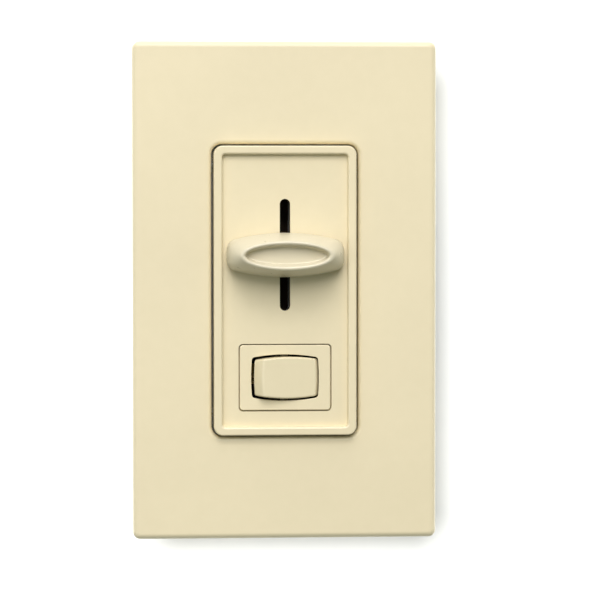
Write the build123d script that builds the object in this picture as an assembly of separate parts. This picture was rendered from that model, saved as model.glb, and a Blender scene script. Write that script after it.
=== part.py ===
from build123d import *
import math
import os

# Decorator-style slide dimmer with a separate on/off rocker and a screwless wallplate.
# Frame: +X to the right of someone facing the device, +Y into the wall, +Z up.
# The wall plane is Y = 0 and the origin is the centre of the two box-screw holes.
# All sizes in millimetres.

os.makedirs("parts", exist_ok=True)

# ---------------------------------------------------------------- driving sizes
PLATE_W, PLATE_H = 69.85, 114.30      # one-gang wallplate
PLATE_FRONT = -6.40                   # front face of the wallplate cover
COVER_T = 1.90                        # thickness of the cover's face
COVER_WALL = 1.50                     # thickness of the cover's side walls
PLATE_CORNER = 1.60                   # corner radius of the cover
PLATE_EDGE = 1.30                     # rounding of the cover's front edge
OPEN_W, OPEN_H, OPEN_R = 33.75, 67.20, 2.45
OPEN_EDGE = 1.00                      # rounding of the opening's front edge

BOX_SCREW_Z = 83.34 / 2               # 6-32 screws into the wall box
PLATE_SCREW_Z = 96.84 / 2             # 6-32 screws that hold the adapter
SCREW_R = 1.753                       # 6-32 major radius

YOKE_T = 1.60                         # yoke lies from Y = -1.6 to Y = 0
YOKE_W, YOKE_H = 44.5, 72.0
FIN_W, FIN_H = 58.0, 60.0
EAR_W, EAR_TOP = 26.0, 52.4

BEZ_W, BEZ_H, BEZ_R = 32.75, 66.40, 2.05
BEZ_FRONT = -8.30                     # rim of the bezel, 1.9 mm proud of the cover
PANEL_Y = -6.85                       # recessed panel
PANEL_T = 1.50
RIM = 1.98                            # rim, from the outer edge to the panel's wall
RIM_ROUND = 0.55                      # rounding of the rim's inner edge

SLOT_W, SLOT_L = 2.40, 25.70
KNOB_Z = 8.20                         # middle of the slider's travel
TRAVEL = 10.0                         # each way

KNOB_BACK, KNOB_FRONT = -7.25, -16.40
LEVER_W, LEVER_H = 1.20, 4.60

ROCK_Z = -20.00                       # centre of the rocker
ROCK_PIVOT_Y = -2.45
ROCK_R = 8.38                         # end walls are arcs about the pivot
ROCK_D = 5.593                        # pivot to the flat face
ROCK_HALF_H = 4.78
ROCK_TILT = 10.20                     # built with its right end pressed in
FRAME_W, FRAME_H = 20.86, 14.98
FRAME_OPEN_W, FRAME_OPEN_H = 15.60, 10.65

BAR_PIVOT_Y = 5.05
BAR_TILT = -8.0
FULCRUM_R = 0.22                      # round crest the bar rocks on

HOUSE_W, HOUSE_H, HOUSE_D, HOUSE_T = 43.0, 67.0, 28.0, 1.60
BOSS_X, BOSS_Z = 17.4, 29.4
STAKE_X, STAKE_Z = 9.0, 30.0
PCB_Y0, PCB_Y1 = 8.40, 10.00
LEAD_X, LEAD_Z, LEAD_R = 13.0, -24.0, 2.00


# ---------------------------------------------------------------- helpers
def bx(x0, x1, y0, y1, z0, z1):
    return Pos((x0 + x1) / 2, (y0 + y1) / 2, (z0 + z1) / 2) * Box(abs(x1 - x0), abs(y1 - y0), abs(z1 - z0))


def cyl_y(x, z, r, y0, y1):
    return Pos(x, (y0 + y1) / 2, z) * Rot(90, 0, 0) * Cylinder(r, abs(y1 - y0))


def cyl_z(x, y, r, z0, z1):
    return Pos(x, y, (z0 + z1) / 2) * Cylinder(r, abs(z1 - z0))


def cyl_x(y, z, r, x0, x1):
    return Pos((x0 + x1) / 2, y, z) * Rot(0, 90, 0) * Cylinder(r, abs(x1 - x0))


def cone_y(x, z, r_front, r_back, y0, y1):
    """Cone along Y, r_front at y0 (nearer the room) and r_back at y1."""
    return Pos(x, (y0 + y1) / 2, z) * Rot(90, 0, 0) * Cone(r_back, r_front, abs(y1 - y0))


def front_plane(y, x=0.0, z=0.0):
    return Plane(origin=(x, y, z), x_dir=(1, 0, 0), z_dir=(0, -1, 0))


def slab(sketch, y0, y1, x=0.0, z=0.0):
    return extrude(front_plane(y1, x, z) * sketch, amount=abs(y1 - y0))


def rr(w, h, r):
    return RectangleRounded(w, h, r)


def edges_at_y(part, y, tol=1e-3):
    out = []
    for e in part.edges():
        b = e.bounding_box()
        if abs(b.min.Y - y) < tol and abs(b.max.Y - y) < tol:
            out.append(e)
    return out


def barrel(w, h, r_top, r_side, corner):
    """Closed outline with bowed top, bottom and sides, centred on the origin."""
    sx, sz = w / 2, h / 2
    # corner point where the two bows meet
    cx, cz = sx, sz
    for _ in range(20):
        cz = sz - (r_top - math.sqrt(r_top ** 2 - cx ** 2))
        cx = sx - (r_side - math.sqrt(r_side ** 2 - cz ** 2))
    top = ThreePointArc((-cx, cz), (0, sz), (cx, cz))
    right = ThreePointArc((cx, cz), (sx, 0), (cx, -cz))
    bottom = ThreePointArc((cx, -cz), (0, -sz), (-cx, -cz))
    left = ThreePointArc((-cx, -cz), (-sx, 0), (-cx, cz))
    face = make_face([top, right, bottom, left])
    return fillet(face.vertices(), corner)


def one(part):
    solids = part.solids()
    assert len(solids) == 1, len(solids)
    return solids[0]


NODES = {}


def node(name, shape):
    NODES[name] = shape
    return shape


# ---------------------------------------------------------------- wallplate cover
cover = slab(rr(PLATE_W, PLATE_H, PLATE_CORNER), PLATE_FRONT, 0)
cover = fillet(edges_at_y(cover, PLATE_FRONT), PLATE_EDGE)
cover -= slab(rr(PLATE_W - 2 * COVER_WALL, PLATE_H - 2 * COVER_WALL, 0.6), PLATE_FRONT + COVER_T, 1)
cover += slab(rr(OPEN_W + 2.2, OPEN_H + 2.2, OPEN_R + 1.1), PLATE_FRONT + COVER_T - 0.2, -3.70)
cover -= slab(rr(OPEN_W, OPEN_H, OPEN_R), PLATE_FRONT - 1, 1)
inner_edge = [e for e in edges_at_y(cover, PLATE_FRONT) if abs(e.center().X) < 18 and abs(e.center().Z) < 35]
cover = fillet(inner_edge, OPEN_EDGE)
POSTS = [(sx * 25.6, sz * 37.5) for sx in (-1, 1) for sz in (-1, 1)] + [(sx * 25.6, 0.0) for sx in (-1, 1)]
for px, pz in POSTS:
    cover += bx(px - 0.75, px + 0.75, PLATE_FRONT + COVER_T - 0.2, -1.95, pz - 3.5, pz + 3.5)
    s = 1 if px > 0 else -1
    cover += bx(px + s * 0.75, px + s * 1.05, -2.65, -1.95, pz - 2.5, pz + 2.5)
node("wallplate_cover", one(cover))

# ---------------------------------------------------------------- wallplate adapter
ad = slab(rr(63.6, 108.6, 2.0), -3.40, -YOKE_T)
lip = slab(rr(63.6, 108.6, 2.0), -4.15, -3.30) - slab(rr(61.2, 106.2, 1.4), -5, -3.0)
ad += lip
ad -= slab(rr(34.9, 68.2, 3.0), -5, 0)
for s in (-1, 1):
    ad -= cyl_y(0, s * PLATE_SCREW_Z, 1.95, -5, 0)
    ad -= cone_y(0, s * PLATE_SCREW_Z, 3.55, 1.95, -3.40, -1.80)
    ad -= slab(SlotOverall(12.4, 8.6), -5, 0, 0, s * BOX_SCREW_Z)
    for sx in (-1, 1):
        ad -= slab(rr(9.0, 5.0, 1.0), -5, 0, sx * 22.0, s * 47.0)
for px, pz in POSTS:
    ad -= bx(px - 1.45, px + 1.45, -5, 0, pz - 3.9, pz + 3.9)
node("wallplate_adapter", one(ad))

# ---------------------------------------------------------------- adapter screws
screws = []
for s in (-1, 1):
    z = s * PLATE_SCREW_Z
    body = cyl_y(0, z, SCREW_R, -1.80, 6.0)
    head = cone_y(0, z, 3.45, SCREW_R, -3.38, -1.80)
    sc = head + body
    sc = chamfer(edges_at_y(sc, 6.0), 0.4)
    sc -= bx(-4, 4, -4, -2.75, z - 0.45, z + 0.45)
    screws.append(one(sc))
node("adapter_screws", Compound(children=screws))

# ---------------------------------------------------------------- yoke
yoke = slab(rr(YOKE_W, YOKE_H, 1.5), -YOKE_T, 0)
yoke += slab(rr(FIN_W, FIN_H, 2.0), -YOKE_T, 0)
yoke += slab(rr(EAR_W, 2 * EAR_TOP, 3.0), -YOKE_T, 0)
for sx in (-1, 1):
    groove = Pos(sx * (YOKE_W / 2 + 0.6), 0, 0) * Rot(0, 0, 45) * Box(0.7, 0.7, FIN_H + 2)
    yoke -= groove
    yoke -= Pos(sx * (YOKE_W / 2 + 0.6), -YOKE_T, 0) * Rot(0, 0, 45) * Box(0.7, 0.7, FIN_H + 2)
for s in (-1, 1):
    # half-round reliefs beside the mounting ears
    for sx in (-1, 1):
        yoke -= cyl_y(sx * EAR_W / 2, s * (YOKE_H / 2 + 1.2), 1.2, -3, 1)
        yoke -= cyl_y(sx * BOSS_X, s * BOSS_Z, 1.28, -3, 1)
        yoke -= cone_y(sx * BOSS_X, s * BOSS_Z, 2.65, 1.28, -YOKE_T, -0.35)
        yoke -= cyl_y(sx * STAKE_X, s * STAKE_Z, 1.25, -3, 1)
    yoke -= slab(SlotOverall(6.9, 4.3), -3, 1, 0, s * BOX_SCREW_Z)
    yoke -= cyl_y(0, s * PLATE_SCREW_Z, SCREW_R, -3, 1)
yoke -= slab(SlotOverall(27.6, 3.4, rotation=90), -3, 1, 0, KNOB_Z)
yoke -= slab(rr(22.0, 16.0, 1.2), -3, 1, 0, ROCK_Z)
yoke -= cyl_y(12.2, 20.6, 1.55, -3, 1)
yoke -= cyl_y(-9.2, -43.6, 1.60, -3, 1)
node("yoke", one(yoke))

# ---------------------------------------------------------------- box screws
bolts = []
for s in (-1, 1):
    z = s * BOX_SCREW_Z
    neck = cyl_y(0, z, 1.60, -YOKE_T, 0)
    thread = cyl_y(0, z, SCREW_R, 0, 22.0)
    thread = chamfer(edges_at_y(thread, 22.0), 0.5)
    head = cyl_y(0, z, 3.35, -3.55, -YOKE_T)
    head = fillet(edges_at_y(head, -3.55), 0.9)
    sc = head + neck + thread
    sc -= bx(-4, 4, -4, -2.75, z - 0.5, z + 0.5)
    bolts.append(one(sc))
node("box_screws", Compound(children=bolts))

# ---------------------------------------------------------------- ground screw
gs = cyl_y(-9.2, -43.6, 4.0, 0, 0.7) + slab(RegularPolygon(3.6, 6), 0.7, 2.5, -9.2, -43.6)
gs += cyl_y(-9.2, -43.6, 1.60, -YOKE_T, 0)
gs -= bx(-9.2 - 4, -9.2 + 4, 1.7, 3, -43.6 - 0.5, -43.6 + 0.5)
node("ground_screw", one(gs))

# ---------------------------------------------------------------- bezel
bz = slab(rr(BEZ_W, BEZ_H, BEZ_R), BEZ_FRONT, -YOKE_T)
bz = fillet(edges_at_y(bz, BEZ_FRONT), 0.35)
pan_w, pan_h = BEZ_W - 2 * RIM, BEZ_H - 2 * RIM
bz -= slab(rr(pan_w, pan_h, 0.75), BEZ_FRONT - 1, PANEL_Y)
rim_edge = [e for e in edges_at_y(bz, BEZ_FRONT)
            if abs(e.center().X) < pan_w / 2 + 0.1 and abs(e.center().Z) < pan_h / 2 + 0.1]
bz = fillet(rim_edge, RIM_ROUND)
bz -= slab(rr(BEZ_W - 3.0, BEZ_H - 3.0, 0.8), PANEL_Y + PANEL_T, 0)
bz -= slab(SlotOverall(SLOT_L, SLOT_W, rotation=90), -9, 0, 0, KNOB_Z)
bz -= slab(rr(FRAME_W + 0.56, FRAME_H + 0.56, 1.05), -9, 0, 0, ROCK_Z)
for sx in (-1, 1):
    # ribs either side of the slot
    bz += bx(sx * 7.4, sx * 8.4, PANEL_Y + PANEL_T - 0.1, -1.70, -9.8, 26.2)
    for s in (-1, 1):
        bz += cyl_y(sx * STAKE_X, s * STAKE_Z, 1.20, PANEL_Y + PANEL_T - 0.1, 0.0)
        bz += cone_y(sx * STAKE_X, s * STAKE_Z, 1.95, 1.30, 0.0, 0.90)
node("bezel", one(bz))

# ---------------------------------------------------------------- slot mask
mask = slab(rr(14.6, 36.0, 0.6), PANEL_Y + PANEL_T, PANEL_Y + PANEL_T + 0.40, 0, KNOB_Z)
mask -= slab(SlotOverall(25.5, 1.80, rotation=90), -9, 0, 0, KNOB_Z)
node("slot_mask", one(mask))


# ---------------------------------------------------------------- slider knob
def walk(pts, fractions):
    """Points at the given fractions of the length of a dense path."""
    run = [0.0]
    for p, q in zip(pts, pts[1:]):
        run.append(run[-1] + math.dist(p, q))
    out, i = [], 0
    for f in fractions:
        d = f * run[-1]
        while i < len(pts) - 2 and run[i + 1] < d:
            i += 1
        t = (d - run[i]) / max(run[i + 1] - run[i], 1e-12)
        out.append(tuple(u + t * (v - u) for u, v in zip(pts[i], pts[i + 1])))
    return out


def quarter_oval(hx, hz, fractions):
    pts = [(hx * math.cos(math.pi / 2 * i / 400), hz * math.sin(math.pi / 2 * i / 400)) for i in range(401)]
    return walk(pts, fractions)


def quarter_barrel(hx, hz, fractions):
    """Bowed top, slightly bowed end and a round corner between them, from (hx, 0) to (0, hz)."""
    rc = 0.50 * hz
    ix, iz = hx - rc, hz - rc
    r_top = 46.0 * (hx / 13.5) ** 2 * (5.1 / hz) - rc
    r_end = 16.0
    cz, cx = iz, ix
    for _ in range(30):
        cz = iz - (r_top - math.sqrt(r_top ** 2 - cx ** 2))
        cx = ix - (r_end - math.sqrt(r_end ** 2 - cz ** 2))
    a_end, a_top = math.asin(cz / r_end), math.asin(cx / r_top)
    pts = []
    for i in range(121):
        a = a_end * i / 120
        pts.append((ix - r_end + (r_end + rc) * math.cos(a), (r_end + rc) * math.sin(a)))
    for i in range(1, 161):
        a = a_end + (math.pi / 2 - a_top - a_end) * i / 160
        pts.append((cx + rc * math.cos(a), cz + rc * math.sin(a)))
    for i in range(1, 241):
        a = a_top * (1 - i / 240)
        pts.append(((r_top + rc) * math.sin(a), iz - r_top + (r_top + rc) * math.cos(a)))
    return walk(pts, fractions)


def knob_outline(hx, hz, flat, y, n=11):
    """Closed smooth outline, flat = 0 for an ellipse and 1 for the blunt barrel."""
    fr = [(i / n) ** 1.35 for i in range(n + 1)]
    q = [tuple((1 - flat) * u + flat * v for u, v in zip(p1, p2))
         for p1, p2 in zip(quarter_oval(hx, hz, fr), quarter_barrel(hx, hz, fr))]
    q[0], q[-1] = (hx, 0.0), (0.0, hz)
    pts = q + [(-x, z) for x, z in q[-2::-1]] + [(-x, -z) for x, z in q[1:]] + [(x, -z) for x, z in q[-2:0:-1]]
    return front_plane(y, 0, KNOB_Z) * make_face(Spline(*pts, periodic=True))


KNOB_SECTIONS = [
    (13.10, 4.80, 1.00, KNOB_BACK),
    (13.50, 5.10, 1.00, -8.20),
    (13.25, 4.95, 0.90, -10.4),
    (12.45, 4.45, 0.60, -13.0),
    (11.25, 3.74, 0.25, -15.2),
    (10.80, 3.42, 0.10, -16.0),
    (10.35, 3.10, 0.00, KNOB_FRONT),
]
knob = loft([knob_outline(a, b, f, y) for a, b, f, y in KNOB_SECTIONS])
dish = loft([
    knob_outline(9.46, 2.06, 0.0, -14.00),
    knob_outline(9.54, 2.14, 0.0, -15.10),
    knob_outline(9.64, 2.26, 0.0, -15.90),
    knob_outline(9.84, 2.54, 0.0, KNOB_FRONT - 0.02),
])
core = loft([
    knob_outline(11.90, 3.70, 0.8, KNOB_BACK + 0.02),
    knob_outline(11.30, 3.20, 0.5, -11.6),
    knob_outline(9.70, 2.30, 0.2, -12.9),
])
knob = knob - dish - core
knob += bx(-1.9, 1.9, -13.4, KNOB_BACK, KNOB_Z - 3.6, KNOB_Z + 3.6)
for sx in (-1, 1):
    knob += bx(sx * 6.0 - 0.5, sx * 6.0 + 0.5, -13.4, KNOB_BACK - 1.2, KNOB_Z - 3.5, KNOB_Z + 3.5)
knob -= bx(-LEVER_W / 2 - 0.04, LEVER_W / 2 + 0.04, -12.9, 0, KNOB_Z - LEVER_H / 2 - 0.04, KNOB_Z + LEVER_H / 2 + 0.04)
node("slider_knob", one(knob))

# ---------------------------------------------------------------- carriage and wiper
car = bx(-3.7, 3.7, 3.6, 6.0, KNOB_Z - 3.25, KNOB_Z + 3.25)
car = fillet([e for e in car.edges() if abs(e.center().Y - 3.6) < 1e-3], 0.4)
lever = bx(-LEVER_W / 2, LEVER_W / 2, -12.7, 3.7, KNOB_Z - LEVER_H / 2, KNOB_Z + LEVER_H / 2)
lever = chamfer(edges_at_y(lever, -12.7), 0.3)
car += lever
node("slider_carriage", one(car))

wip = []
for sx in (-1, 1):
    w = bx(sx * 1.9 - 0.7, sx * 1.9 + 0.7, 6.0, 6.25, KNOB_Z - 2.8, KNOB_Z + 1.2)
    arm = Plane(origin=(sx * 1.9, 0, 0), x_dir=(0, 1, 0), z_dir=(1, 0, 0)) * make_face(
        Polyline((6.0, KNOB_Z + 1.0), (6.25, KNOB_Z + 1.0), (7.28, KNOB_Z + 2.5), (6.9, KNOB_Z + 3.1),
                 (6.68, KNOB_Z + 2.98), (6.94, KNOB_Z + 2.5), (6.0, KNOB_Z + 1.2), close=True)
    )
    w += extrude(arm, amount=0.45, both=True)
    wip.append(one(w))
node("wiper_contacts", Compound(children=wip))

# ---------------------------------------------------------------- slide control body
case_z0, case_z1 = KNOB_Z - 17.6, KNOB_Z + 17.6
case = bx(-4.5, 4.5, 1.2, PCB_Y0, case_z0, case_z1)
case = fillet([e for e in case.edges() if abs(e.center().Y - 1.2) < 1e-3], 0.4)
case -= bx(-4.0, 4.0, 1.7, PCB_Y0 + 1, case_z0 + 0.5, case_z1 - 0.5)
case -= slab(SlotOverall(26.4, 2.4, rotation=90), 0, 3, 0, KNOB_Z)
TABS = [(sx * 4.25, KNOB_Z + s * 12.0) for sx in (-1, 1) for s in (-1, 1)]
for tx, tz in TABS:
    case += bx(tx - 0.25, tx + 0.25, PCB_Y0 - 1, 10.5, tz - 0.7, tz + 0.7)
node("control_case", one(case))

elem = bx(-3.95, 3.95, 7.40, 8.20, case_z0 + 0.55, case_z1 - 0.55)
PINS = [(-2.2, case_z0 + 2.0), (2.2, case_z0 + 2.0), (0.0, case_z1 - 1.8)]
for px, pz in PINS:
    elem -= cyl_y(px, pz, 0.55, 7, 9)
node("control_element", one(elem))

pins = []
for px, pz in PINS:
    p = cyl_y(px, pz, 0.55, 7.40, 8.20) + cyl_y(px, pz, 1.0, 7.22, 7.40) + bx(px - 0.4, px + 0.4, 8.20, 11.4, pz - 0.2, pz + 0.2)
    p += cyl_y(px, pz, 0.8, 8.20, 8.38)
    pins.append(one(p))
node("control_terminals", Compound(children=pins))

# ---------------------------------------------------------------- rocker frame
rf = slab(rr(FRAME_W, FRAME_H, 0.78), PANEL_Y, -5.30, 0, ROCK_Z)
rf = fillet(edges_at_y(rf, PANEL_Y), 0.20)
rf += slab(rr(FRAME_W - 0.4, FRAME_H - 0.4, 0.7), -5.4, -0.90, 0, ROCK_Z)
rf += slab(rr(25.0, 17.4, 0.8), PANEL_Y + PANEL_T, -3.90, 0, ROCK_Z)
for sx in (-1, 1):
    for s in (-1, 1):
        rf += bx(sx * 11.3, sx * 12.4, -4.0, -YOKE_T, ROCK_Z + s * 6.6, ROCK_Z + s * 8.5)
rf -= slab(barrel(FRAME_OPEN_W, FRAME_OPEN_H, 40, 46, 0.8), -8, -4.5, 0, ROCK_Z)
rf -= slab(barrel(FRAME_OPEN_W + 1.3, FRAME_OPEN_H + 0.15, 40, 46, 0.8), PANEL_Y + 0.55, -4.5, 0, ROCK_Z)
rf -= slab(rr(17.8, 10.8, 0.5), PANEL_Y + 1.0, 0, 0, ROCK_Z)
rf = fillet([e for e in edges_at_y(rf, PANEL_Y) if abs(e.center().X) < 8.2 and abs(e.center().Z - ROCK_Z) < 5.6], 0.12)
rf -= cyl_z(0, ROCK_PIVOT_Y, 1.00, ROCK_Z - 6.6, ROCK_Z + 6.6)
node("rocker_frame", one(rf))

# ---------------------------------------------------------------- rocker
# local frame: pivot on the Z axis, face at Y = -ROCK_D
h = 5.2
rh = ROCK_R - h * h / 92.0
prof = make_face([
    Line((0, -h), (rh, -h)),
    ThreePointArc((rh, -h), (ROCK_R, 0), (rh, h)),
    Line((rh, h), (0, h)),
    Line((0, h), (0, -h)),
])
drum = revolve(Plane.XZ * prof, axis=Axis.Z, revolution_arc=360)
za = ROCK_HALF_H - (40 - math.sqrt(40 ** 2 - 10 ** 2))
bow = make_face([
    ThreePointArc((-10, za), (0, ROCK_HALF_H), (10, za)),
    Line((10, za), (10, -za)),
    ThreePointArc((10, -za), (0, -ROCK_HALF_H), (-10, -za)),
    Line((-10, -za), (-10, za)),
])
prism = slab(bow, -ROCK_D, -1.50)
rk = drum & prism
ends = [e for e in edges_at_y(rk, -ROCK_D) if abs(e.center().X) > 5.5]
rk = fillet(ends, 0.90)
rim = [e for e in rk.edges() if abs(e.center().Z) > 3.6 and e.center().Y < -1.9 and e.bounding_box().max.Y < -1.6]
rk = fillet(rim, 0.42)
for sx in (-1, 1):
    rk -= bx(sx * 7.10, sx * 9.5, -3.07, 0, -6, 6)
rk -= bx(-6.3, 6.3, -4.25, 0, -3.3, 3.3)
rk += cyl_y(0, 0, 1.95, -4.4, 2.40)
for s in (-1, 1):
    ear = bx(-2.2, 2.2, -1.7, 0.0, s * 3.3, s * 4.6) + cyl_z(0, 0, 2.2, min(s * 3.3, s * 4.6), max(s * 3.3, s * 4.6))
    rk += ear & bx(-2.2, 2.2, -1.7, 1.6, s * 3.3, s * 4.6)
    rk += cyl_z(0, 0, 0.90, min(s * 4.5, s * 6.2), max(s * 4.5, s * 6.2))
    rk += bx(-0.5, 0.5, -4.4, -1.2, s * 1.5, s * 3.4)
rk -= cyl_y(0, 0, 1.20, -3.20, 3.0)
AT_PIVOT = Pos(0, ROCK_PIVOT_Y, ROCK_Z) * Rot(0, 0, ROCK_TILT)
node("rocker", one(AT_PIVOT * one(rk)))

pl = cyl_y(0, 0, 1.08, 0.55, 5.80)
tip = Pos(0, 5.80, 0) * Sphere(1.08)
pl = pl + tip
pl -= cyl_y(0, 0, 0.55, 0.0, 1.6)
node("plunger", one(AT_PIVOT * one(pl)))

hel = Helix(pitch=0.75, height=3.38, radius=0.86)
coil = sweep(Plane(origin=hel @ 0, z_dir=hel % 0) * Circle(0.17), path=hel, is_frenet=True)
coil = Pos(0, -3.01, 0) * Rot(-90, 0, 0) * coil
node("plunger_spring", one(AT_PIVOT * one(coil)))

# ---------------------------------------------------------------- switch contacts
# local frame: pivot on the Z axis, the bar's rear face at Y = 0
bar = bx(-6.2, 6.2, -0.50, 0, -2.2, 2.2)
bar = fillet([e for e in bar.edges() if abs(abs(e.center().X) - 6.2) < 1e-3 and abs(abs(e.center().Z) - 2.2) < 1e-3], 0.7)
bar -= cyl_y(-5.0, 0, 0.7, -1, 1)
bar -= cyl_z(0, 0, FULCRUM_R + 0.07, -3, 3)
AT_BAR = Pos(0, BAR_PIVOT_Y, ROCK_Z) * Rot(0, 0, BAR_TILT)
node("contact_bar", one(AT_BAR * one(bar)))
mc = cyl_y(-5.0, 0, 0.7, -0.70, 0.0) + cyl_y(-5.0, 0, 1.35, 0.0, 0.60) + cyl_y(-5.0, 0, 1.0, -0.75, -0.50)
mc = fillet(edges_at_y(mc, 0.60), 0.25)
node("moving_contact", one(AT_BAR * one(mc)))

FC_X = -5.0 * math.cos(math.radians(BAR_TILT)) - 0.6 * math.sin(math.radians(BAR_TILT))
fc = cyl_y(FC_X, ROCK_Z, 1.35, 6.62, 7.10) + cyl_y(FC_X, ROCK_Z, 0.7, 7.0, 7.60)
fc = fillet(edges_at_y(fc, 6.62), 0.2)
node("fixed_contact", one(fc))
ct = bx(-7.9, -3.0, 7.10, 7.60, ROCK_Z - 2.4, ROCK_Z + 2.4)
ct += bx(-7.6, -6.9, 7.10, 11.4, ROCK_Z - 0.6, ROCK_Z + 0.6)
ct -= cyl_y(FC_X, ROCK_Z, 0.7, 6.5, 7.60)
node("contact_terminal", one(ct))

pt = bx(-1.3, 1.3, 7.10, 7.60, ROCK_Z - 4.2, ROCK_Z + 4.2)
for s in (-1, 1):
    tri = make_face(Polyline((-0.75, 7.2), (0.75, 7.2), (FULCRUM_R, BAR_PIVOT_Y), (-FULCRUM_R, BAR_PIVOT_Y), close=True))
    rid = extrude(Plane(origin=(0, 0, ROCK_Z + s * 1.6), x_dir=(1, 0, 0), z_dir=(0, 0, 1)) * tri, amount=0.4, both=True)
    pt += rid
    pt += cyl_z(0, BAR_PIVOT_Y, FULCRUM_R, ROCK_Z + s * 1.6 - 0.4, ROCK_Z + s * 1.6 + 0.4)
pt += bx(-0.6, 0.6, 7.10, 11.4, ROCK_Z + 3.0, ROCK_Z + 3.7)
node("pivot_terminal", one(pt))

sb = slab(rr(19.0, 14.0, 1.0), 0.30, PCB_Y0, 0, ROCK_Z)
sb -= slab(rr(16.6, 11.6, 0.6), 0, 7.60, 0, ROCK_Z)
sb -= bx(-7.6, -6.9, 7, 9, ROCK_Z - 0.6, ROCK_Z + 0.6)
sb -= bx(-0.6, 0.6, 7, 9, ROCK_Z + 3.0, ROCK_Z + 3.7)
node("switch_base", one(sb))

# ---------------------------------------------------------------- circuit board
pcb = slab(Rectangle(37.2, 62.0), PCB_Y0, PCB_Y1)
for sx in (-1, 1):
    for s in (-1, 1):
        pcb -= bx(sx * 13.9, sx * 20, 8, 11, s * 25.9, s * 32)
for px, pz in PINS:
    pcb -= bx(px - 0.5, px + 0.5, 8, 11, pz - 0.3, pz + 0.3)
for tx, tz in TABS:
    pcb -= bx(tx - 0.35, tx + 0.35, 8, 11, tz - 0.8, tz + 0.8)
pcb -= bx(-7.7, -6.8, 8, 11, ROCK_Z - 0.7, ROCK_Z + 0.7)
pcb -= bx(-0.7, 0.7, 8, 11, ROCK_Z + 2.9, ROCK_Z + 3.8)
for sx in (-1, 1):
    pcb -= cyl_y(sx * LEAD_X, LEAD_Z, 1.40, 8, 11)
TRI_X = 12.2
for dx in (-2.54, 0, 2.54):
    pcb -= cyl_y(TRI_X + dx, 5.6, 0.60, 8, 11)
# pairs of holes for the two-lead components
LEAD_PAIRS = {
    "filter": [(5.5, 16.0), (15.5, 16.0)],
    "timing_a": [(8.0, -1.5), (13.0, -1.5)],
    "timing_b": [(8.0, -7.5), (13.0, -7.5)],
    "res_a": [(-15.0, 0.0), (-5.0, 0.0)],
    "res_b": [(-15.0, -5.0), (-5.0, -5.0)],
    "res_c": [(-15.0, -10.0), (-5.0, -10.0)],
    "diac": [(8.0, -11.6), (15.5, -11.6)],
    "choke": [(-11.4, 3.2), (-6.2, 3.2)],
}
for pair in LEAD_PAIRS.values():
    for px, pz in pair:
        pcb -= cyl_y(px, pz, 0.50, 8, 11)
node("circuit_board", one(pcb))

# ---------------------------------------------------------------- triac on the yoke
ins = bx(TRI_X - 6.2, TRI_X + 6.2, 0, 0.25, 7.0, 25.0) - cyl_y(TRI_X, 20.6, 1.7, -1, 1)
node("triac_insulator", one(ins))
tab = bx(TRI_X - 5.1, TRI_X + 5.1, 0.25, 1.55, 8.0, 23.6)
tab = chamfer([e for e in tab.edges() if abs(e.center().Z - 23.6) < 1e-3 and abs(abs(e.center().X - TRI_X) - 5.1) < 1e-3], 0.8)
tab -= cyl_y(TRI_X, 20.6, 1.6, -1, 3)
node("triac_tab", one(tab))
tb = bx(TRI_X - 5.1, TRI_X + 5.1, 1.55, 4.75, 8.0, 17.2)
tb = chamfer(edges_at_y(tb, 4.75), 0.5)
node("triac_body", one(tb))
tl = []
for dx in (-2.54, 0, 2.54):
    x = TRI_X + dx
    l = bx(x - 0.4, x + 0.4, 2.5, 3.0, 5.35, 8.0) + bx(x - 0.4, x + 0.4, 2.5, 11.2, 5.35, 5.85)
    tl.append(one(l))
node("triac_leads", Compound(children=tl))
rv = cyl_y(TRI_X, 20.6, 1.50, -YOKE_T, 1.55) + cyl_y(TRI_X, 20.6, 2.7, -YOKE_T - 0.8, -YOKE_T) + cyl_y(TRI_X, 20.6, 2.5, 1.55, 2.5)
rv = fillet(edges_at_y(rv, -YOKE_T - 0.8) + edges_at_y(rv, 2.5), 0.5)
node("triac_rivet", one(rv))

# ---------------------------------------------------------------- choke
CHK_X, CHK_Z = -7.6, 14.6
prof = make_face(Polyline((5.2, 11.6), (9.4, 11.6), (9.4, 18.6), (5.2, 18.6), close=True))
prof = fillet(prof.vertices(), 0.8)
ring = revolve(prof, axis=Axis.Y, revolution_arc=360)
node("choke_core", one(Pos(CHK_X, 0, CHK_Z) * ring))
wo = make_face(Polyline((4.3, 10.7), (10.3, 10.7), (10.3, 19.5), (4.3, 19.5), close=True))
wo = fillet(wo.vertices(), 1.5)
wind = revolve(wo - prof, axis=Axis.Y, revolution_arc=300)
node("choke_winding", one(Pos(CHK_X, 0, CHK_Z) * Rot(0, 30, 0) * wind))

# ---------------------------------------------------------------- small components
fcap = bx(4.0, 17.0, PCB_Y1 + 0.3, 22.0, 12.8, 19.2)
fcap = fillet(fcap.edges(), 0.5)
node("filter_capacitor", one(fcap))

caps = []
for zc in (-1.5, -7.5):
    c = bx(6.9, 14.1, PCB_Y1 + 0.3, 17.0, zc - 1.5, zc + 1.5)
    caps.append(one(fillet(c.edges(), 0.4)))
node("timing_capacitors", Compound(children=caps))

res = []
for zc in (0.0, -5.0, -10.0):
    r = cyl_x(PCB_Y1 + 1.5, zc, 1.05, -13.1, -6.9) + cyl_x(PCB_Y1 + 1.5, zc, 1.25, -13.3, -11.9) + cyl_x(PCB_Y1 + 1.5, zc, 1.25, -8.1, -6.7)
    res.append(one(r))
node("resistors", Compound(children=res))

dc = cyl_x(PCB_Y1 + 1.3, -11.6, 0.95, 9.7, 13.8)
dc = fillet(dc.edges().filter_by(GeomType.CIRCLE), 0.3)
node("diac", one(dc))

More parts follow.
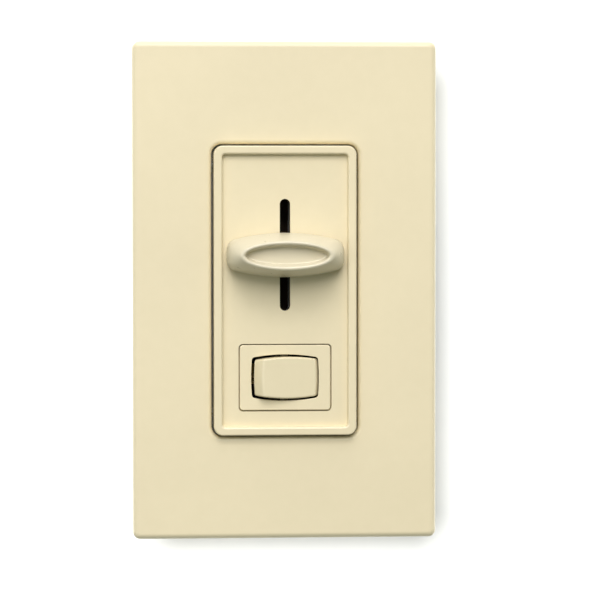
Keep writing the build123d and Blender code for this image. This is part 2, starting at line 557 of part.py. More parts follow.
leads = []
for name, pair in LEAD_PAIRS.items():
    for i, (px, pz) in enumerate(pair):
        if name in ("filter", "timing_a", "timing_b"):
            leads.append(one(cyl_y(px, pz, 0.35, 8.9 - 1.2, PCB_Y1 + 0.3)))
        elif name == "choke":
            y_top = 11.0
            leads.append(one(cyl_y(px, pz, 0.45, 7.8, y_top)))
        else:
            yc = PCB_Y1 + (1.3 if name == "diac" else 1.5)
            x_in = {"diac": (9.7, 13.8)}.get(name, (-13.3, -6.7))[i]
            l = cyl_y(px, pz, 0.30, 7.8, yc) + cyl_x(yc, pz, 0.30, min(px, x_in), max(px, x_in)) + Pos(px, yc, pz) * Sphere(0.30)
            leads.append(one(l))
node("component_leads", Compound(children=leads))

eye = []
for sx in (-1, 1):
    e = cyl_y(sx * LEAD_X, LEAD_Z, 1.40, PCB_Y0 - 0.3, PCB_Y1 + 0.6) + cyl_y(sx * LEAD_X, LEAD_Z, 2.3, PCB_Y1, PCB_Y1 + 0.35)
    e += cyl_y(sx * LEAD_X, LEAD_Z, 2.1, PCB_Y0 - 0.35, PCB_Y0)
    e -= cyl_y(sx * LEAD_X, LEAD_Z, 1.05, 7, 12)
    eye.append(one(e))
node("lead_eyelets", Compound(children=eye))

# ---------------------------------------------------------------- back housing
bh = slab(rr(HOUSE_W, HOUSE_H, 2.5), 0, HOUSE_D)
bh = fillet(edges_at_y(bh, HOUSE_D), 1.6)
bh -= slab(rr(HOUSE_W - 2 * HOUSE_T, HOUSE_H - 2 * HOUSE_T, 1.2), -1, HOUSE_D - HOUSE_T)
keep = slab(rr(HOUSE_W - 1.0, HOUSE_H - 1.0, 2.0), 0, HOUSE_D - 0.8)
for sx in (-1, 1):
    for s in (-1, 1):
        boss = cyl_y(sx * BOSS_X, s * BOSS_Z, 2.75, 0, HOUSE_D - 1.0)
        boss += bx(sx * BOSS_X, sx * (HOUSE_W / 2 - 1), 0, HOUSE_D - 1.0, s * (BOSS_Z - 1.2), s * (BOSS_Z + 1.2))
        boss += bx(sx * (BOSS_X - 1.2), sx * (BOSS_X + 1.2), 0, HOUSE_D - 1.0, s * BOSS_Z, s * (HOUSE_H / 2 - 1))
        bh += boss & keep
        bh -= cyl_y(sx * BOSS_X, s * BOSS_Z, 1.25, -1, 10.0)
    for zc in (-12.0, 12.0):
        bh += bx(sx * 18.0, sx * 20.5, PCB_Y1, HOUSE_D - 1.0, zc - 1.5, zc + 1.5)
for sx in (-1, 1):
    bh -= cyl_y(sx * LEAD_X, LEAD_Z, LEAD_R, 20, 30)
# shallow blank label field moulded in the back
bh -= slab(rr(30.0, 20.0, 1.5), HOUSE_D - 0.30, HOUSE_D + 1, 0, 7.0)
# vent louvres through the end walls
for s in (-1, 1):
    for x in (-9.0, -3.0, 3.0, 9.0):
        bh -= bx(x - 1.0, x + 1.0, 14.0, 22.0, s * 30.5, s * 35)
node("back_housing", one(bh))

hs = []
for sx in (-1, 1):
    for s in (-1, 1):
        x, z = sx * BOSS_X, s * BOSS_Z
        q = cone_y(x, z, 2.60, 1.25, -YOKE_T + 0.02, -0.35) + cyl_y(x, z, 1.25, -0.35, 9.0)
        q -= bx(x - 3, x + 3, -3, -1.05, z - 0.35, z + 0.35)
        q -= bx(x - 0.35, x + 0.35, -3, -1.05, z - 3, z + 3)
        hs.append(one(q))
node("housing_screws", Compound(children=hs))

# ---------------------------------------------------------------- write
for name, shape in NODES.items():
    export_step(shape, f"parts/{name}.step")
    b = shape.bounding_box()
    print(f"{name:22s} vol {shape.volume:9.2f}  x {b.min.X:7.2f} {b.max.X:7.2f}  y {b.min.Y:7.2f} {b.max.Y:7.2f}  z {b.min.Z:7.2f} {b.max.Z:7.2f}")
print(len(NODES), "nodes")
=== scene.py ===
import bpy, bmesh, math
from mathutils import Vector, Matrix


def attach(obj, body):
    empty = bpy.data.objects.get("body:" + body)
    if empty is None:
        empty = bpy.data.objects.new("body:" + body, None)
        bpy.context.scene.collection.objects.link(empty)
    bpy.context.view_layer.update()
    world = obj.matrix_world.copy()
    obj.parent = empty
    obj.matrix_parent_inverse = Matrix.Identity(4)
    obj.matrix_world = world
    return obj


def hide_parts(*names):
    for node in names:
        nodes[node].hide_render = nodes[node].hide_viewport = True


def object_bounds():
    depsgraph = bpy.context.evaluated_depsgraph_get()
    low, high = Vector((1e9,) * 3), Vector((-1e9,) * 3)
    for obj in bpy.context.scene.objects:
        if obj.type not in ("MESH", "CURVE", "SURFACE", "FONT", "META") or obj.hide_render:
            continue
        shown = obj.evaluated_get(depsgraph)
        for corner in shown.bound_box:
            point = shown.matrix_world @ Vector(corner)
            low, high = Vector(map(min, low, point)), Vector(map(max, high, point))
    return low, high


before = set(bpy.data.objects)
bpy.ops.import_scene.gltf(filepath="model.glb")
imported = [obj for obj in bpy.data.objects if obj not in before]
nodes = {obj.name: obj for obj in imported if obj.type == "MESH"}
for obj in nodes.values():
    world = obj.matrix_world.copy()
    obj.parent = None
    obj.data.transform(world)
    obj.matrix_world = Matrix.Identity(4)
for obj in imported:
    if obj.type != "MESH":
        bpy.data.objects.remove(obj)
cad_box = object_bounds()
scene = bpy.context.scene
MM = 0.001


# ------------------------------------------------------------------ node helpers
def new_mat(name):
    m = bpy.data.materials.new(name)
    m.use_nodes = True
    nt = m.node_tree
    for n in list(nt.nodes):
        nt.nodes.remove(n)
    out = nt.nodes.new("ShaderNodeOutputMaterial")
    p = nt.nodes.new("ShaderNodeBsdfPrincipled")
    nt.links.new(p.outputs[0], out.inputs[0])
    return m, nt, p


def lin(c):
    return tuple((v / 12.92 if v <= 0.04045 else ((v + 0.055) / 1.055) ** 2.4) for v in c)


def rgb(r, g, b):
    return lin((r / 255.0, g / 255.0, b / 255.0)) + (1.0,)


def coords(nt, scale=(1, 1, 1)):
    tc = nt.nodes.new("ShaderNodeTexCoord")
    mp = nt.nodes.new("ShaderNodeMapping")
    mp.inputs["Scale"].default_value = scale
    nt.links.new(tc.outputs["Object"], mp.inputs["Vector"])
    return mp.outputs["Vector"]


def noise(nt, vec, scale, detail=3.0, rough=0.55):
    n = nt.nodes.new("ShaderNodeTexNoise")
    n.inputs["Scale"].default_value = scale
    n.inputs["Detail"].default_value = detail
    n.inputs["Roughness"].default_value = rough
    nt.links.new(vec, n.inputs["Vector"])
    return n.outputs["Fac"]


def ramp(nt, fac, lo, hi, a, b):
    """Maps fac from lo..hi to colour a..b."""
    r = nt.nodes.new("ShaderNodeValToRGB")
    r.color_ramp.elements[0].position = lo
    r.color_ramp.elements[1].position = hi
    r.color_ramp.elements[0].color = a
    r.color_ramp.elements[1].color = b
    nt.links.new(fac, r.inputs["Fac"])
    return r.outputs["Color"]


def maprange(nt, fac, lo, hi, a, b):
    r = nt.nodes.new("ShaderNodeMapRange")
    r.inputs["From Min"].default_value = lo
    r.inputs["From Max"].default_value = hi
    r.inputs["To Min"].default_value = a
    r.inputs["To Max"].default_value = b
    nt.links.new(fac, r.inputs["Value"])
    return r.outputs["Result"]


def mixc(nt, fac, a, b):
    m = nt.nodes.new("ShaderNodeMix")
    m.data_type = "RGBA"
    for s, v in ((0, fac), (6, a), (7, b)):
        if hasattr(v, "is_linked") or isinstance(v, bpy.types.NodeSocket):
            nt.links.new(v, m.inputs[s])
        else:
            m.inputs[s].default_value = v
    return m.outputs[2]


def bump(nt, p, height, strength, distance, chain=None):
    b = nt.nodes.new("ShaderNodeBump")
    b.inputs["Strength"].default_value = strength
    b.inputs["Distance"].default_value = distance
    nt.links.new(height, b.inputs["Height"])
    if chain is not None:
        nt.links.new(chain, b.inputs["Normal"])
    nt.links.new(b.outputs["Normal"], p.inputs["Normal"])
    return b.outputs["Normal"]


# ------------------------------------------------------------------ materials
def ivory(name, base, rough=0.36, grain=0.35, sss=0.0, wave=0.25):
    """Injection-moulded ivory thermoplastic: slight colour drift, fine satin grain, faint flow marks."""
    m, nt, p = new_mat(name)
    v = coords(nt)
    big = noise(nt, v, 28.0, 2.0)
    mid = noise(nt, v, 420.0, 3.0)
    fine = noise(nt, v, 5200.0, 2.0, 0.6)
    c0 = tuple(x * 0.975 for x in base[:3]) + (1.0,)
    c1 = tuple(min(1.0, x * 1.015) for x in base[:3]) + (1.0,)
    col = ramp(nt, big, 0.30, 0.70, c0, c1)
    speck = ramp(nt, mid, 0.35, 0.75, (0.985, 0.985, 0.98, 1), (1.0, 1.0, 1.0, 1))
    mul = nt.nodes.new("ShaderNodeMix")
    mul.data_type = "RGBA"
    mul.blend_type = "MULTIPLY"
    mul.inputs[0].default_value = 1.0
    nt.links.new(col, mul.inputs[6])
    nt.links.new(speck, mul.inputs[7])
    nt.links.new(mul.outputs[2], p.inputs["Base Color"])
    nt.links.new(maprange(nt, mid, 0.3, 0.7, rough - 0.03, rough + 0.05), p.inputs["Roughness"])
    p.inputs["IOR"].default_value = 1.50
    p.inputs["Subsurface Weight"].default_value = sss
    p.inputs["Subsurface Radius"].default_value = (1.0, 0.72, 0.40)
    p.inputs["Subsurface Scale"].default_value = 0.0011
    n1 = bump(nt, p, fine, grain, 0.000012) if grain else None
    bump(nt, p, mid, wave, 0.00002, n1)
    return m


def plastic(name, c, rough=0.5, grain=0.4, var=0.12, size=2600.0):
    m, nt, p = new_mat(name)
    v = coords(nt)
    a = noise(nt, v, 90.0, 3.0)
    f = noise(nt, v, size, 3.0, 0.6)
    c0 = tuple(x * (1 - var) for x in c[:3]) + (1.0,)
    c1 = tuple(min(1.0, x * (1 + var)) for x in c[:3]) + (1.0,)
    nt.links.new(ramp(nt, a, 0.3, 0.7, c0, c1), p.inputs["Base Color"])
    nt.links.new(maprange(nt, f, 0.3, 0.7, rough - 0.06, rough + 0.08), p.inputs["Roughness"])
    p.inputs["IOR"].default_value = 1.49
    bump(nt, p, f, grain, 0.00003)
    return m


def metal(name, c, rough=0.3, brush=None, var=0.08, dirt=0.12):
    """Plated, rolled or drawn metal. brush is the direction along which the marks run."""
    m, nt, p = new_mat(name)
    p.inputs["Metallic"].default_value = 1.0
    sc = (1, 1, 1)
    if brush == "z":
        sc = (1, 1, 0.02)
    elif brush == "x":
        sc = (0.02, 1, 1)
    v = coords(nt, sc)
    w = coords(nt)
    streak = noise(nt, v, 2200.0, 4.0, 0.6)
    cloud = noise(nt, w, 120.0, 4.0, 0.6)
    c0 = tuple(x * (1 - dirt) for x in c[:3]) + (1.0,)
    c1 = tuple(min(1.0, x * (1 + var)) for x in c[:3]) + (1.0,)
    nt.links.new(ramp(nt, cloud, 0.30, 0.72, c0, c1), p.inputs["Base Color"])
    nt.links.new(maprange(nt, streak, 0.25, 0.75, max(0.05, rough - 0.09), rough + 0.12), p.inputs["Roughness"])
    bump(nt, p, streak, 0.35, 0.00001)
    return m


IVORY = rgb(240, 229, 196)
MAT = {
    "wallplate_cover": ivory("cover_ivory_plastic", (0.80, 0.71, 0.49, 1), 0.42, 0.30),
    "bezel": ivory("bezel_ivory_plastic", (0.80, 0.71, 0.49, 1), 0.33, 0.20, 0.0, 0.12),
    # slider_knob: same ivory plastic as the plate, base colour set darker as painted shade that tones down the knob's
    # lit flanks
    "slider_knob": ivory("knob_ivory_painted_shade", (0.695, 0.635, 0.475, 1), 0.30, 0.0, 0.0, 0.10),
    "rocker_frame": ivory("frame_ivory_plastic", (0.80, 0.71, 0.49, 1), 0.38, 0.25),
    "rocker": ivory("rocker_ivory_plastic", (0.795, 0.71, 0.49, 1), 0.30, 0.0, 0.0, 0.12),
    "wallplate_adapter": ivory("adapter_ivory_plastic", rgb(232, 221, 190), 0.50, 0.45),
    # slot_mask: near-black card behind the slider slot, painted shade standing in for the dark depth of the slot
    "slot_mask": plastic("black_card", (0.006, 0.006, 0.006), 0.85, 0.5, 0.2),
    "slider_carriage": plastic("carriage_black", (0.012, 0.012, 0.012), 0.55),
    "yoke": metal("yoke_aluminium", (0.52, 0.53, 0.53), 0.40, "z"),
    "adapter_screws": metal("screw_zinc", (0.70, 0.71, 0.72), 0.24),
    "box_screws": metal("screw_zinc_b", (0.70, 0.71, 0.72), 0.24),
    "housing_screws": metal("screw_zinc_c", (0.70, 0.71, 0.72), 0.26),
    "ground_screw": metal("ground_green", (0.05, 0.30, 0.10), 0.30),
    "back_housing": plastic("housing_black", (0.018, 0.018, 0.020), 0.42, 0.7, 0.15, 1500.0),
    "wiper_contacts": metal("wiper_bronze", (0.78, 0.50, 0.28), 0.28, "z"),
    "control_case": metal("case_tinned", (0.62, 0.62, 0.60), 0.33, "z"),
    "control_element": plastic("element_phenolic", (0.13, 0.06, 0.025), 0.45),
    "control_terminals": metal("terminal_tin", (0.72, 0.72, 0.70), 0.22),
    "plunger": plastic("plunger_acetal", (0.80, 0.80, 0.74), 0.35, 0.2, 0.03),
    "plunger_spring": metal("spring_steel", (0.60, 0.60, 0.58), 0.20),
    "contact_bar": metal("bar_copper", (0.80, 0.46, 0.28), 0.30, "x"),
    "moving_contact": metal("contact_silver", (0.86, 0.85, 0.82), 0.30),
    "fixed_contact": metal("contact_silver_b", (0.86, 0.85, 0.82), 0.30),
    "contact_terminal": metal("terminal_brass", (0.83, 0.62, 0.28), 0.28, "x"),
    "pivot_terminal": metal("terminal_brass_b", (0.83, 0.62, 0.28), 0.28, "x"),
    "switch_base": plastic("switch_phenolic", (0.020, 0.012, 0.008), 0.5),
    "circuit_board": plastic("board_green", (0.020, 0.095, 0.028), 0.33, 0.3, 0.2),
    "triac_insulator": plastic("mica_sheet", (0.46, 0.41, 0.29), 0.25, 0.2, 0.15),
    "triac_tab": metal("tab_nickel", (0.70, 0.62, 0.56), 0.30),
    "triac_body": plastic("epoxy_black", (0.010, 0.010, 0.011), 0.48, 0.8),
    "triac_leads": metal("lead_tin", (0.74, 0.74, 0.72), 0.22),
    "triac_rivet": metal("rivet_aluminium", (0.74, 0.74, 0.75), 0.30),
    "choke_core": plastic("core_coating", (0.50, 0.42, 0.06), 0.42, 0.5),
    "choke_winding": metal("enamel_copper", (0.62, 0.24, 0.09), 0.22),
    "filter_capacitor": plastic("case_yellow", (0.62, 0.32, 0.02), 0.38, 0.3, 0.06),
    "timing_capacitors": plastic("lacquer_red", (0.24, 0.018, 0.010), 0.22, 0.3, 0.1),
    "resistors": plastic("lacquer_tan", (0.55, 0.40, 0.20), 0.32, 0.3, 0.06),
    "diac": plastic("lacquer_blue", (0.03, 0.09, 0.30), 0.25, 0.2, 0.06),
    "component_leads": metal("wire_tin", (0.74, 0.74, 0.72), 0.22),
    "lead_eyelets": metal("eyelet_brass", (0.83, 0.62, 0.28), 0.25),
}
for name, m in MAT.items():
    o = nodes[name]
    o.data.materials.clear()
    o.data.materials.append(m)

# ------------------------------------------------------------------ mesh helpers
def make_object(name, verts, faces, smooth_angle=35.0, scale=MM):
    me = bpy.data.meshes.new(name)
    me.from_pydata([tuple(c * scale for c in v) for v in verts], [], faces)
    me.validate()
    bm = bmesh.new()
    bm.from_mesh(me)
    bmesh.ops.recalc_face_normals(bm, faces=bm.faces)
    bm.to_mesh(me)
    bm.free()
    o = bpy.data.objects.new(name, me)
    scene.collection.objects.link(o)
    smooth(o, smooth_angle)
    return o


def smooth(o, angle=35.0):
    o.data.shade_smooth()
    o.data.set_sharp_from_angle(angle=math.radians(angle))


def box_verts(x0, x1, y0, y1, z0, z1):
    v = [(x0, y0, z0), (x1, y0, z0), (x1, y1, z0), (x0, y1, z0), (x0, y0, z1), (x1, y0, z1), (x1, y1, z1), (x0, y1, z1)]
    f = [(3, 2, 1, 0), (4, 5, 6, 7), (0, 1, 5, 4), (1, 2, 6, 5), (2, 3, 7, 6), (3, 0, 4, 7)]
    return v, f


def boolean(o, boxes, op, angle=35.0):
    """Joins to, or cuts from, the mesh each given box in turn."""
    for i, b in enumerate(boxes):
        t = make_object("tool", *box_verts(*b))
        m = o.modifiers.new("b", "BOOLEAN")
        m.operation = op
        m.solver = "EXACT"
        m.object = t
        dg = bpy.context.evaluated_depsgraph_get()
        me = bpy.data.meshes.new_from_object(o.evaluated_get(dg))
        o.modifiers.clear()
        old = o.data
        o.data = me
        bpy.data.meshes.remove(old)
        tm = t.data
        bpy.data.objects.remove(t)
        bpy.data.meshes.remove(tm)
    smooth(o, angle)
    return o


def skin(rings, cap0=None, cap1=None):
    """Faces over a row of rings that all have the same number of points, closed by a point at each end."""
    n = len(rings[0])
    v, f = [], []
    for r in rings:
        v.extend(r)
    for k in range(len(rings) - 1):
        for i in range(n):
            j = (i + 1) % n
            f.append((k * n + i, k * n + j, (k + 1) * n + j, (k + 1) * n + i))
    if cap0 is not None:
        v.append(cap0)
        c = len(v) - 1
        f.extend((c, (i + 1) % n, i) for i in range(n))
    if cap1 is not None:
        v.append(cap1)
        c = len(v) - 1
        b = (len(rings) - 1) * n
        f.extend((c, b + i, b + (i + 1) % n) for i in range(n))
    return v, f


def weld(objs, name, angle=35.0):
    """One object from several."""
    bm = bmesh.new()
    for o in objs:
        bm.from_mesh(o.data)
    me = bpy.data.meshes.new(name)
    bm.to_mesh(me)
    bm.free()
    for o in objs:
        m = o.data
        bpy.data.objects.remove(o)
        bpy.data.meshes.remove(m)
    r = bpy.data.objects.new(name, me)
    scene.collection.objects.link(r)
    smooth(r, angle)
    return r


def stand_in(o, node, body):
    """The piece takes the node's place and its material."""
    o.data.materials.clear()
    o.data.materials.append(MAT[node])
    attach(o, body)
    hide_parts(node)


# ------------------------------------------------------------------ slider knob
KNOB_Z = 8.20


def walk(pts, fractions):
    run = [0.0]
    for p, q in zip(pts, pts[1:]):
        run.append(run[-1] + math.dist(p, q))
    out, i = [], 0
    for f in fractions:
        d = f * run[-1]
        while i < len(pts) - 2 and run[i + 1] < d:
            i += 1
        t = (d - run[i]) / max(run[i + 1] - run[i], 1e-12)
        out.append(tuple(u + t * (v - u) for u, v in zip(pts[i], pts[i + 1])))
    return out


def quarter_oval(hx, hz, fractions):
    return walk([(hx * math.cos(math.pi / 2 * i / 400), hz * math.sin(math.pi / 2 * i / 400)) for i in range(401)], fractions)


def quarter_barrel(hx, hz, fractions):
    rc = 0.50 * hz
    ix, iz = hx - rc, hz - rc
    r_top = 46.0 * (hx / 13.5) ** 2 * (5.1 / hz) - rc
    r_end = 16.0
    cz, cx = iz, ix
    for _ in range(30):
        cz = iz - (r_top - math.sqrt(r_top ** 2 - cx ** 2))
        cx = ix - (r_end - math.sqrt(r_end ** 2 - cz ** 2))
    a_end, a_top = math.asin(cz / r_end), math.asin(cx / r_top)
    pts = []
    for i in range(121):
        a = a_end * i / 120
        pts.append((ix - r_end + (r_end + rc) * math.cos(a), (r_end + rc) * math.sin(a)))
    for i in range(1, 161):
        a = a_end + (math.pi / 2 - a_top - a_end) * i / 160
        pts.append((cx + rc * math.cos(a), cz + rc * math.sin(a)))
    for i in range(1, 241):
        a = a_top * (1 - i / 240)
        pts.append(((r_top + rc) * math.sin(a), iz - r_top + (r_top + rc) * math.cos(a)))
    return walk(pts, fractions)


def knob_ring(hx, hz, flat, y, n=30):
    fr = [(i / n) ** 1.35 for i in range(n + 1)]
    q = [tuple((1 - flat) * u + flat * v for u, v in zip(p1, p2))
         for p1, p2 in zip(quarter_oval(hx, hz, fr), quarter_barrel(hx, hz, fr))]
    q[0], q[-1] = (hx, 0.0), (0.0, hz)
    pts = q + [(-x, z) for x, z in q[-2::-1]] + [(-x, -z) for x, z in q[1:]] + [(x, -z) for x, z in q[-2:0:-1]]
    return [(x, y, KNOB_Z + z) for x, z in pts]


def blended(sections, sub):
    """Smooth run of sections through the given ones: cubic, with chord-length parameters."""
    t = [0.0]
    for a, b in zip(sections, sections[1:]):
        t.append(t[-1] + math.dist((a[1], a[3]), (b[1], b[3])) ** 0.5)
    out = []
    for i in range(len(sections) - 1):
        p1, p2 = sections[i], sections[i + 1]
        h = t[i + 1] - t[i]

        def slope(k):
            if k == 0:
                return tuple((b - a) / (t[1] - t[0]) for a, b in zip(sections[0], sections[1]))
            if k == len(sections) - 1:
                return tuple((b - a) / (t[-1] - t[-2]) for a, b in zip(sections[-2], sections[-1]))
            h0, h1 = t[k] - t[k - 1], t[k + 1] - t[k]
            return tuple(((b - a) / h0 * h1 + (c - b) / h1 * h0) / (h0 + h1)
                         for a, b, c in zip(sections[k - 1], sections[k], sections[k + 1]))

        m1, m2 = slope(i), slope(i + 1)
        for s in range(sub if i < len(sections) - 2 else sub + 1):
            u = s / sub
            a, b, c, d = 2 * u ** 3 - 3 * u ** 2 + 1, u ** 3 - 2 * u ** 2 + u, -2 * u ** 3 + 3 * u ** 2, u ** 3 - u ** 2
            out.append(tuple(a * x + b * h * y + c * z + d * h * w for x, y, z, w in zip(p1, m1, p2, m2)))
    return out


def make_knob():
    back = [(13.10, 4.80, 1.00, -7.25), (13.38, 5.02, 1.00, -7.50), (13.50, 5.10, 1.00, -8.20)]
    flank = [(13.50, 5.10, 1.00, -8.20), (13.25, 4.95, 0.90, -10.4), (12.45, 4.45, 0.60, -13.0),
             (11.25, 3.74, 0.25, -15.2), (10.80, 3.42, 0.10, -16.0)]
    crest = [(10.80, 3.42, 0.10, -16.0), (10.56, 3.27, 0.05, -16.25), (10.28, 3.07, 0.0, -16.38),
             (9.98, 2.84, 0.0, -16.40), (9.70, 2.58, 0.0, -16.27), (9.50, 2.38, 0.0, -16.00), (9.38, 2.26, 0.0, -15.62),
             (9.28, 2.15, 0.0, -15.00), (9.20, 2.08, 0.0, -14.45), (9.12, 2.01, 0.0, -14.12), (8.96, 1.89, 0.0, -14.02)]
    inner = [(9.20, 2.00, 0.20, -12.90), (9.70, 2.30, 0.20, -12.88), (10.10, 2.55, 0.25, -12.65), (11.30, 3.20, 0.50, -11.6), (11.90, 3.70, 0.80, -7.25)]
    rings = []
    for k in (0.2, 0.5, 0.8):
        rings.append(knob_ring(9.20 * k, 2.00 * k, 0.2, -12.90))
    rings += [knob_ring(*s) for s in inner]
    rings += [knob_ring(*s) for s in blended(back, 5)[:-1]]
    rings += [knob_ring(*s) for s in blended(flank + crest[1:], 6)]
    for k in (0.92, 0.75, 0.5, 0.25):
        rings.append(knob_ring(8.96 * k, 1.89 * k, 0.0, -14.0))
    v, f = skin(rings, (0, -12.90, KNOB_Z), (0, -14.0, KNOB_Z))
    o = make_object("knob_body", v, f)
    boolean(o, [(-1.9, 1.9, -13.4, -7.26, KNOB_Z - 3.6, KNOB_Z + 3.6)] +
            [(sx * 6.0 - 0.5, sx * 6.0 + 0.5, -13.4, -8.45, KNOB_Z - 3.5, KNOB_Z + 3.5) for sx in (-1, 1)], "UNION")
    boolean(o, [(-0.64, 0.64, -12.9, -7.0, KNOB_Z - 2.34, KNOB_Z + 2.34)], "DIFFERENCE", 40.0)
    stand_in(o, "slider_knob", "slider")


make_knob()


# ------------------------------------------------------------------ screws
SCREW_R = 1.753
ADAPTER_Z = 48.42


def screw(profile, thread, x, z, slot, n=40):
    """Turned screw: profile of (radius, y), then a helical thread (crest, root, pitch, y0, y1), then a slot."""
    rings = [[(x + r * math.cos(2 * math.pi * i / n), y, z + r * math.sin(2 * math.pi * i / n)) for i in range(n)]
             for r, y in profile]
    crest, root, pitch, y0, y1 = thread
    rows = int(round((y1 - y0) / pitch * 12))
    for k in range(rows + 1):
        y = y0 + (y1 - y0) * k / rows
        ring = []
        for i in range(n):
            ph = ((y - y0) / pitch - i / n) % 1.0
            w = abs(2 * ph - 1)                      # 1 at the crest, 0 at the root
            w = min(1.0, max(0.0, (w - 0.12) / 0.70))
            lead = min(1.0, (y - y0) / pitch, max(0.0, (y1 - y) / (0.9 * pitch)))
            r = root + (crest - root) * w * lead
            ring.append((x + r * math.cos(2 * math.pi * i / n), y, z + r * math.sin(2 * math.pi * i / n)))
        rings.append(ring)
    r = root * 0.82
    rings.append([(x + r * math.cos(2 * math.pi * i / n), y1 + 0.22, z + r * math.sin(2 * math.pi * i / n)) for i in range(n)])
    v, f = skin(rings, (x, profile[0][1], z), (x, y1 + 0.22, z))
    o = make_object("screw", v, f)
    return boolean(o, [slot], "DIFFERENCE", 32.0)


def pan_head(r, y_front, y_back, neck, neck_end):
    p = [(r * 0.35, y_front - 0.0)]
    for i in range(7):
        a = math.pi / 2 * i / 6
        p.append((r - 0.9 + 0.9 * math.sin(a), y_front + 0.9 - 0.9 * math.cos(a)))
    p += [(r, y_back - 0.12), (r - 0.06, y_back - 0.02), (r - 0.14, y_back), (neck, y_back), (neck, neck_end)]
    return p


def make_screws():
    parts = []
    for s in (-1, 1):
        z = s * 41.67
        parts.append(screw(pan_head(3.35, -3.55, -1.60, 1.42, 0.0), (SCREW_R, SCREW_R - 0.42, 0.794, 0.02, 21.75),
                           0.0, z, (-4, 4, -4.2, -2.75, z - 0.5, z + 0.5)))
    stand_in(weld(parts, "box_screw_pair", 32.0), "box_screws", "root")
    parts = []
    for s in (-1, 1):
        z = s * ADAPTER_Z
        prof = [(1.2, -3.36), (3.25, -3.36), (3.42, -3.31), (3.43, -3.24), (3.30, -3.10), (1.95, -1.84), (1.50, -1.60), (1.36, -1.40)]
        parts.append(screw(prof, (SCREW_R, SCREW_R - 0.42, 0.794, -1.30, 5.75), 0.0, z,
                           (-4, 4, -4.2, -2.75, z - 0.45, z + 0.45)))
    stand_in(weld(parts, "adapter_screw_pair", 32.0), "adapter_screws", "root")


make_screws()


# ------------------------------------------------------------------ choke winding
def make_winding():
    cx, cz = -7.6, 14.6
    wire, turns, steps = 0.42, 27, 28
    r0, r1, y0, y1, rc = 5.2 - 0.46, 9.4 + 0.46, 11.6 - 0.46, 18.6 + 0.46, 1.15
    loop = []
    for (ax, ay, a0) in ((r1 - rc, y1 - rc, 0), (r0 + rc, y1 - rc, 90), (r0 + rc, y0 + rc, 180), (r1 - rc, y0 + rc, 270)):
        for i in range(9):
            a = math.radians(a0 + 90 * i / 8)
            loop.append((ax + rc * math.cos(a), ay + rc * math.sin(a)))
    loop.append(loop[0])
    pts = []
    for k in range(turns * steps + 1):
        t = k / steps
        (r, y), = walk(loop, [t % 1.0])
        a = math.radians(30 + 2 + 296 * t / turns)
        pts.append((r, y, a))
    c = bpy.data.curves.new("winding", "CURVE")
    c.dimensions = "3D"
    c.bevel_depth = wire * MM
    c.bevel_resolution = 3
    c.use_fill_caps = True
    sp = c.splines.new("POLY")
    sp.points.add(len(pts) - 1)
    for p, (r, y, a) in zip(sp.points, pts):
        p.co = ((cx + r * math.cos(a)) * MM, y * MM, (cz - r * math.sin(a)) * MM, 1)
    co_ = bpy.data.objects.new("winding_curve", c)
    scene.collection.objects.link(co_)
    dg = bpy.context.evaluated_depsgraph_get()
    me = bpy.data.meshes.new_from_object(co_.evaluated_get(dg))
    bpy.data.objects.remove(co_)
    bpy.data.curves.remove(c)
    o = bpy.data.objects.new("choke_turns", me)
    scene.collection.objects.link(o)
    smooth(o, 50.0)
    stand_in(o, "choke_winding", "root")


make_winding()

# ------------------------------------------------------------------ stage
FLOOR_Y = cad_box[1].y + 0.00005


def make_floor():
    me = bpy.data.meshes.new("pale_floor")
    s = 0.45
    me.from_pydata([(-s, FLOOR_Y, -s), (s, FLOOR_Y, -s), (s, FLOOR_Y, s), (-s, FLOOR_Y, s)], [], [(0, 1, 2, 3)])
    me.update()
    o = bpy.data.objects.new("pale_floor", me)
    scene.collection.objects.link(o)
    m = bpy.data.materials.new("pale_floor")
    m.use_nodes = True
    nt = m.node_tree
    for n in list(nt.nodes):
        nt.nodes.remove(n)
    out = nt.nodes.new("ShaderNodeOutputMaterial")
    d = nt.nodes.new("ShaderNodeBsdfDiffuse")
    d.inputs["Color"].default_value = (0.92, 0.92, 0.92, 1)
    t = nt.nodes.new("ShaderNodeBsdfTransparent")
    g = nt.nodes.new("ShaderNodeNewGeometry")
    mx = nt.nodes.new("ShaderNodeMixShader")
    nt.links.new(g.outputs["Backfacing"], mx.inputs[0])
    nt.links.new(d.outputs[0], mx.inputs[1])
    nt.links.new(t.outputs[0], mx.inputs[2])
    nt.links.new(mx.outputs[0], out.inputs[0])
    me.materials.append(m)
    o.visible_shadow = False
    return o


floor = make_floor()

# ------------------------------------------------------------------ lights
only_floor = bpy.data.collections.new("lit_floor")
only_floor.objects.link(floor)
no_floor = bpy.data.collections.new("lit_object")
no_floor.objects.link(floor)
no_floor.collection_objects[0].light_linking.link_state = "EXCLUDE"


def area(name, loc, target, size, power, colour=(1, 1, 1), receivers=None, shape="RECTANGLE", size_y=None):
    l = bpy.data.lights.new(name, "AREA")
    l.shape = shape
    l.size = size
    if shape in ("RECTANGLE", "ELLIPSE"):
        l.size_y = size_y or size
    l.energy = power
    l.color = colour
    o = bpy.data.objects.new(name, l)
    scene.collection.objects.link(o)
    d = Vector(target) - Vector(loc)
    o.location = loc
    o.rotation_euler = d.to_track_quat("-Z", "Y").to_euler()
    if receivers is not None:
        o.light_linking.receiver_collection = receivers
    return o


def aim(az, el, d):
    """Point at azimuth az from straight ahead (+ is to the right) and elevation el, d metres off."""
    a, e = math.radians(az), math.radians(el)
    return (d * math.sin(a) * math.cos(e), -d * math.cos(a) * math.cos(e), d * math.sin(e))


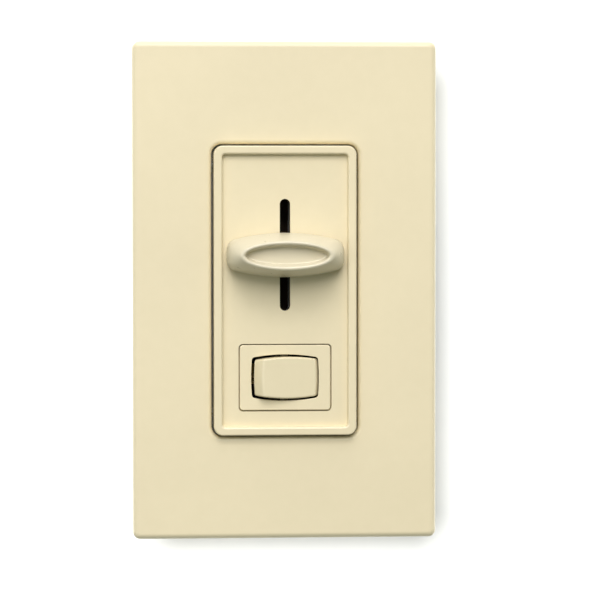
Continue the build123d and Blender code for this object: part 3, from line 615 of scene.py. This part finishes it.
area("key", aim(-3, 37, 2.2), (0, 0, 0), 1.5, 48.6, (1.0, 0.968, 0.975), no_floor)
area("high", aim(-3, 62, 2.0), (0, 0, 0), 1.3, 11.0, (1.0, 0.968, 0.975), no_floor)
area("left_fill", aim(-40, 2, 0.45), (0, 0, 0), 0.24, 0.32, (1.0, 1.0, 1.0), no_floor)
area("right_fill", aim(68, 2, 0.9), (0, 0, 0), 0.5, 0.70, (1.0, 1.0, 1.0), no_floor)
area("floor_light", (-0.21, -1.35, 0.19), (0, 0, 0), 0.60, 31.0, (1, 1, 1), only_floor, "DISK")
area("rear_key", (-0.9, 1.6, 1.1), (0, 0, 0), 1.0, 34.0, (1, 1, 1), no_floor)
area("rear_fill", (1.2, 1.3, -0.3), (0, 0, 0), 1.2, 14.0, (1, 1, 1), no_floor)

w = bpy.data.worlds.new("studio")
scene.world = w
w.use_nodes = True
nt = w.node_tree
for n in list(nt.nodes):
    nt.nodes.remove(n)
out = nt.nodes.new("ShaderNodeOutputWorld")
b1 = nt.nodes.new("ShaderNodeBackground")
b1.inputs["Color"].default_value = (0.82, 1.0, 0.78, 1)
b1.inputs["Strength"].default_value = 0.13
b2 = nt.nodes.new("ShaderNodeBackground")
b2.inputs["Color"].default_value = (1, 1, 1, 1)
b2.inputs["Strength"].default_value = 1.0
lp = nt.nodes.new("ShaderNodeLightPath")
mx = nt.nodes.new("ShaderNodeMixShader")
nt.links.new(lp.outputs["Is Camera Ray"], mx.inputs[0])
nt.links.new(b1.outputs[0], mx.inputs[1])
nt.links.new(b2.outputs[0], mx.inputs[2])
nt.links.new(mx.outputs[0], out.inputs[0])
scene.view_settings.view_transform = "Standard"
scene.view_settings.look = "None"
scene.cycles.use_denoising = True

# ------------------------------------------------------------------ camera
FOCAL_PX = 2590.5
cam = bpy.data.cameras.new("camera")
cam.sensor_width = 36.0
cam.lens = FOCAL_PX / 590.0 * 36.0
cam.clip_start = 0.01
cam.clip_end = 20
co = bpy.data.objects.new("camera", cam)
scene.collection.objects.link(co)
yaw, pitch, roll = math.radians(-3.799), math.radians(-2.012), math.radians(-0.033)
R = Matrix.Rotation(yaw, 4, "Z") @ Matrix.Rotation(math.radians(90) + pitch, 4, "X") @ Matrix.Rotation(roll, 4, "Z")
co.matrix_world = Matrix.Translation((-37.095 * MM, -600 * MM, 19.868 * MM)) @ R
scene.camera = co
